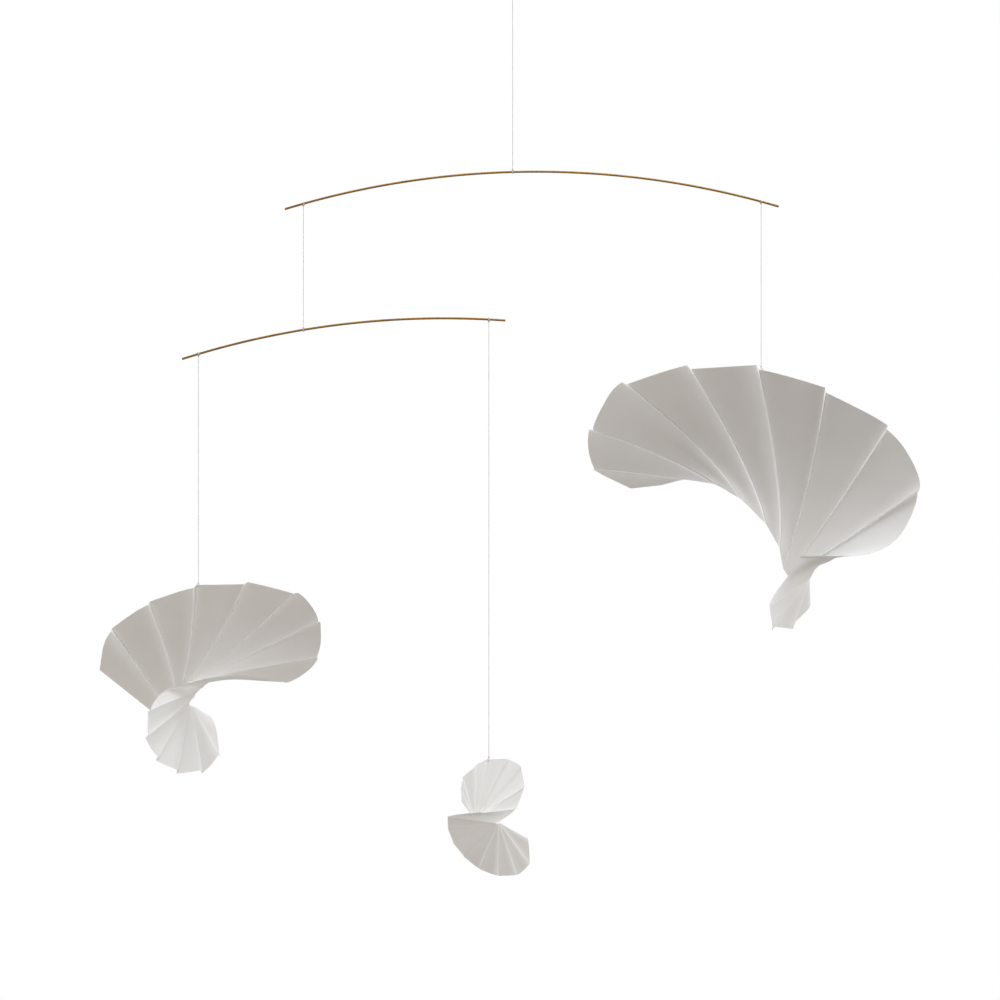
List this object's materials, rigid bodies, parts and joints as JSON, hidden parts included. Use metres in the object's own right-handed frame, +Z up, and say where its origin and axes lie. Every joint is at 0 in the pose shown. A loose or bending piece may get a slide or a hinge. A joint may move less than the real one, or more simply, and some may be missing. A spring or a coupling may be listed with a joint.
{
  "type": "hanging mobile",
  "caption": "Hanging mobile with pleated white paper spirals on fine threads, balanced below bent brass rods that hang from a ring",
  "frame": {"origin": "centre of the hanging ring", "axes": "+Z up along the ceiling thread, +X along the rods to the viewer's right, front faces -Y"},
  "size_m": [0.7369, 0.1622, 0.8104],
  "materials": {
    "brushed_brass": "brushed, slightly dull",
    "white_paper": "matt, pleated",
    "white_thread": "twisted thread",
    "nickelled_ring": "nickel plated wire"
  },
  "bodies": {
    "ring": {"hanging_ring": "nickelled_ring", "ring_loop": "white_thread"},
    "ceiling_line": {"ceiling_thread": "white_thread", "upper_rod_centre_loop": "white_thread"},
    "upper_arm": {"upper_rod": "brushed_brass"},
    "link_line": {"upper_rod_left_loop": "white_thread", "link_thread": "white_thread"},
    "lower_hub": {"lower_rod_centre_loop": "white_thread"},
    "lower_arm": {"lower_rod": "brushed_brass"},
    "large_line": {"upper_rod_right_loop": "white_thread", "large_thread": "white_thread"},
    "large_ornament": {"large_loop": "white_thread", "large_spiral": "white_paper"},
    "medium_line": {"lower_rod_left_loop": "white_thread", "medium_thread": "white_thread"},
    "medium_ornament": {"medium_loop": "white_thread", "medium_spiral": "white_paper"},
    "small_line": {"lower_rod_right_loop": "white_thread", "small_thread": "white_thread"},
    "small_ornament": {"small_loop": "white_thread", "small_spiral": "white_paper"}
  },
  "joints": [
    {"name": "mobile_turn", "type": "hinge", "parent": "ring", "child": "ceiling_line", "pos_m": [0, 0, -0.0107], "axis": [0, 0, 1], "continuous": true},
    {"name": "upper_arm_rock", "type": "hinge", "parent": "ceiling_line", "child": "upper_arm", "pos_m": [0, 0, -0.169], "axis": [0, 1, 0], "range_deg": [-5, 5]},
    {"name": "link_swing", "type": "hinge", "parent": "upper_arm", "child": "link_line", "pos_m": [-0.18837, 0, -0.19755], "axis": [0, 1, 0], "range_deg": [-6, 6]},
    {"name": "lower_arm_turn", "type": "hinge", "parent": "link_line", "child": "lower_hub", "pos_m": [-0.18837, 0, -0.31105], "axis": [0, 0, 1], "continuous": true},
    {"name": "lower_arm_rock", "type": "hinge", "parent": "lower_hub", "child": "lower_arm", "pos_m": [-0.18837, 0, -0.31105], "axis": [0, 1, 0], "range_deg": [-5, 5]},
    {"name": "large_swing", "type": "hinge", "parent": "upper_arm", "child": "large_line", "pos_m": [0.22362, 0, -0.19565], "axis": [0, 1, 0], "range_deg": [-6, 6]},
    {"name": "large_turn", "type": "hinge", "parent": "large_line", "child": "large_ornament", "pos_m": [0.22362, 0, -0.34415], "axis": [0, 0, 1], "continuous": true},
    {"name": "medium_swing", "type": "hinge", "parent": "lower_arm", "child": "medium_line", "pos_m": [-0.28283, 0, -0.33281], "axis": [0, 1, 0], "range_deg": [-6, 6]},
    {"name": "medium_turn", "type": "hinge", "parent": "medium_line", "child": "medium_ornament", "pos_m": [-0.28283, 0, -0.53931], "axis": [0, 0, 1], "continuous": true},
    {"name": "small_swing", "type": "hinge", "parent": "lower_arm", "child": "small_line", "pos_m": [-0.02145, 0, -0.30173], "axis": [0, 1, 0], "range_deg": [-6, 6]},
    {"name": "small_turn", "type": "hinge", "parent": "small_line", "child": "small_ornament", "pos_m": [-0.02145, 0, -0.69573], "axis": [0, 0, 1], "continuous": true}
  ]
}
